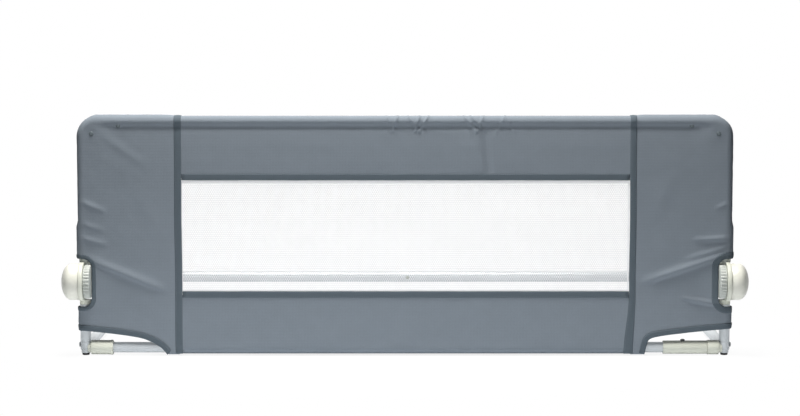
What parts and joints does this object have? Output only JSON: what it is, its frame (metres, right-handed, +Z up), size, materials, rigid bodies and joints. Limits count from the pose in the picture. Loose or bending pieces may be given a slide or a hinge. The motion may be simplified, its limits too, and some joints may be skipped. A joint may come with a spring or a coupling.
{
  "type": "folding bed guard rail",
  "caption": "Free-standing folding bed guard rail: fabric covered tube frame with a net window, on two arms that lie under the mattress, tipping forward on side hinge hubs.",
  "frame": {"origin": "on the floor, below the middle of the rail's bounding box", "axes": "+X to the right seen from the room, -Y towards the room, +Y under the mattress, +Z up"},
  "size_m": [1.2, 0.4278, 0.4223],
  "materials": {
    "cover_cloth": "matte woven polyester, grey-blue",
    "tape_cloth": "matte woven tape, darker grey-blue",
    "white_net": "white knitted net",
    "painted_steel": "satin silver powder coat",
    "bare_steel": "zinc plated",
    "cream_plastic": "cream, fine texture",
    "pale_plastic": "off-white, half gloss",
    "grey_plastic": "light grey, fine texture",
    "black_plastic": "black",
    "rubber": "black, soft"
  },
  "bodies": {
    "base_frame": {"corner_fitting_left": "cream_plastic", "corner_fitting_right": "cream_plastic", "corner_screw_left": "bare_steel", "corner_screw_right": "bare_steel", "foot_pad_left": "rubber", "foot_pad_right": "rubber", "lower_upright_left": "painted_steel", "lower_upright_right": "painted_steel", "under_mattress_arm_left": "painted_steel", "under_mattress_arm_right": "painted_steel", "arm_end_cap_left": "black_plastic", "arm_end_cap_right": "black_plastic", "hinge_base_left": "cream_plastic", "hinge_base_right": "cream_plastic", "hinge_rivet_left": "bare_steel", "hinge_rivet_right": "bare_steel", "front_cross_tube": "painted_steel", "cross_tube_sleeve": "cream_plastic", "release_spring_left": "bare_steel", "release_spring_right": "bare_steel", "lower_side_panel_left": "cover_cloth", "lower_side_panel_right": "cover_cloth", "lower_seam_tape_left": "tape_cloth", "lower_seam_tape_right": "tape_cloth", "hem_binding_left": "tape_cloth", "hem_binding_right": "tape_cloth", "lower_notch_binding_left": "tape_cloth", "lower_notch_binding_right": "tape_cloth", "lower_front_panel": "cover_cloth", "lower_window_net": "white_net", "lower_window_tape": "tape_cloth"},
    "guard_frame": {"hinge_arm_left": "grey_plastic", "hinge_arm_right": "grey_plastic", "upper_tube_left": "painted_steel", "upper_tube_right": "painted_steel", "top_coupler": "painted_steel", "crossbar_left": "painted_steel", "crossbar_right": "painted_steel", "crossbar_coupler": "painted_steel", "upper_side_panel_left": "cover_cloth", "upper_side_panel_right": "cover_cloth", "upper_seam_tape_left": "tape_cloth", "upper_seam_tape_right": "tape_cloth", "upper_notch_binding_left": "tape_cloth", "upper_notch_binding_right": "tape_cloth", "side_stud_left": "bare_steel", "side_stud_right": "bare_steel", "top_stud_left": "bare_steel", "top_stud_right": "bare_steel", "top_panel": "cover_cloth", "upper_window_net": "white_net", "upper_window_tape": "tape_cloth"},
    "release_left": {"release_button_left": "pale_plastic", "lock_ring_left": "grey_plastic"},
    "release_right": {"release_button_right": "pale_plastic", "lock_ring_right": "grey_plastic"},
    "sleeve_catch": {"sleeve_button": "black_plastic"},
    "crossbar_catch": {"crossbar_button": "bare_steel"}
  },
  "joints": [
    {"name": "guard_fold", "type": "hinge", "parent": "base_frame", "child": "guard_frame", "pos_m": [0, -0.18, 0.131], "axis": [1, 0, 0], "range_deg": [0, 180]},
    {"name": "release_left_press", "type": "slide", "parent": "base_frame", "child": "release_left", "axis": [1, 0, 0], "range_m": [0, 0.0048], "stiffness_N_per_m": 1500, "springref_m": -0.004, "deforming": ["release_spring_left"]},
    {"name": "release_right_press", "type": "slide", "parent": "base_frame", "child": "release_right", "axis": [-1, 0, 0], "range_m": [0, 0.0048], "stiffness_N_per_m": 1500, "springref_m": -0.004, "deforming": ["release_spring_right"]},
    {"name": "sleeve_catch_press", "type": "slide", "parent": "base_frame", "child": "sleeve_catch", "axis": [0, 0, -1], "range_m": [0, 0.0052], "stiffness_N_per_m": 1200, "springref_m": -0.003},
    {"name": "crossbar_catch_press", "type": "slide", "parent": "guard_frame", "child": "crossbar_catch", "axis": [0, 1, 0], "range_m": [0, 0.0035], "stiffness_N_per_m": 1200, "springref_m": -0.003}
  ]
}
